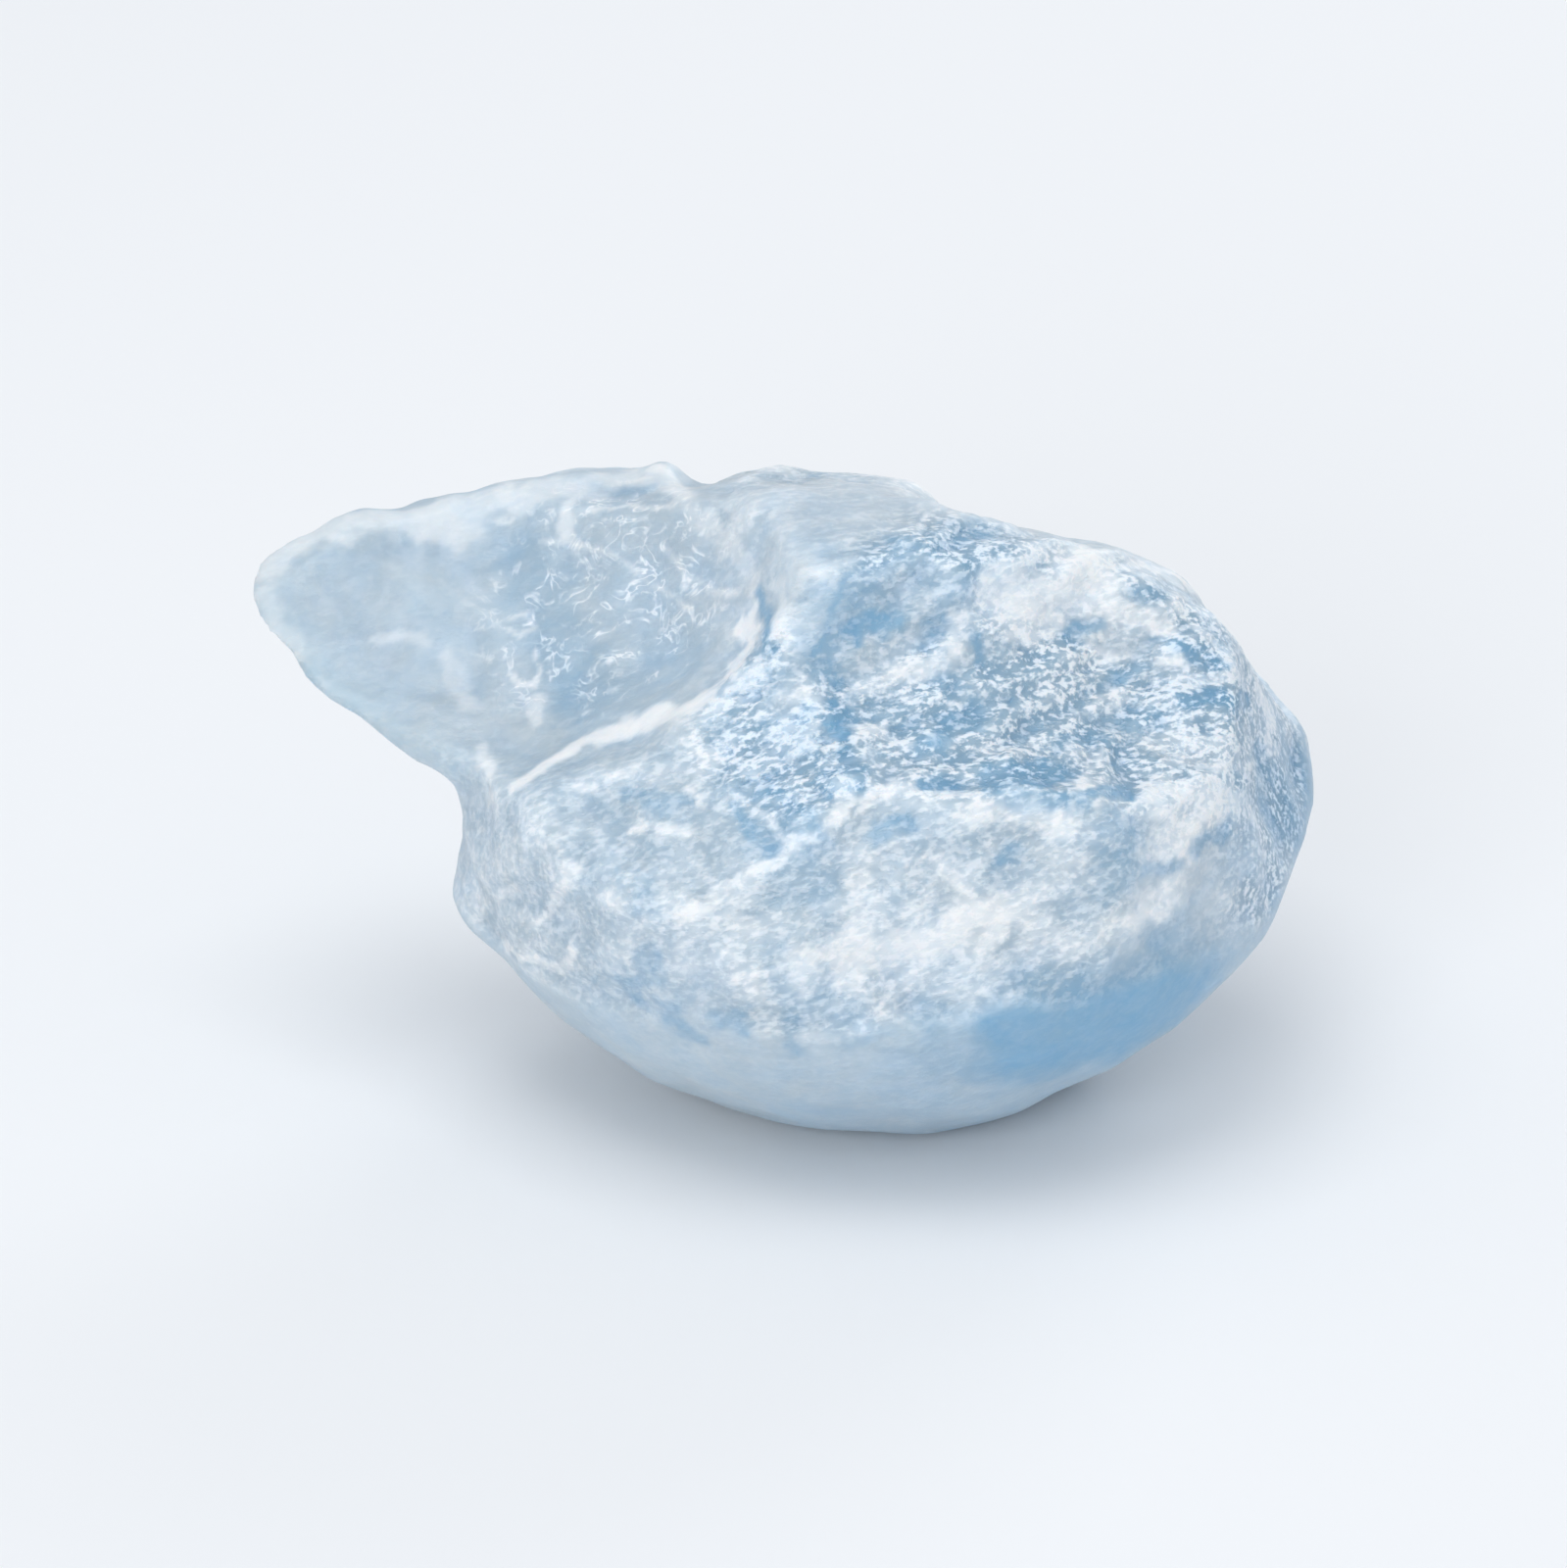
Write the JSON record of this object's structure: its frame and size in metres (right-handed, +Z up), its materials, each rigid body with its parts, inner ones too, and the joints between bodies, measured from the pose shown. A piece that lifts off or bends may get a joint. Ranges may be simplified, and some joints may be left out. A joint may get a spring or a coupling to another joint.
{
  "type": "rough celestite stone",
  "caption": "Loose chunk of rough pale-blue celestite: rounded body with a wedge-shaped lobe, broken frosted faces above a smooth worn skin, lying on a small flat face.",
  "frame": {"origin": "middle of the stone's bounding box, on the ground that it lies on", "axes": "+X along the stone, from the tip of its lobe to its rounded end; +Y from the side that faces the viewer in the picture to the hidden side; +Z up as it lies"},
  "size_m": [0.045, 0.0298, 0.0261],
  "materials": {
    "celestite": "translucent pale ice blue, glassy on the worn skin, white and frosted on broken crystal"
  },
  "bodies": {
    "root": {"celestite_stone": "celestite"}
  },
  "joints": []
}
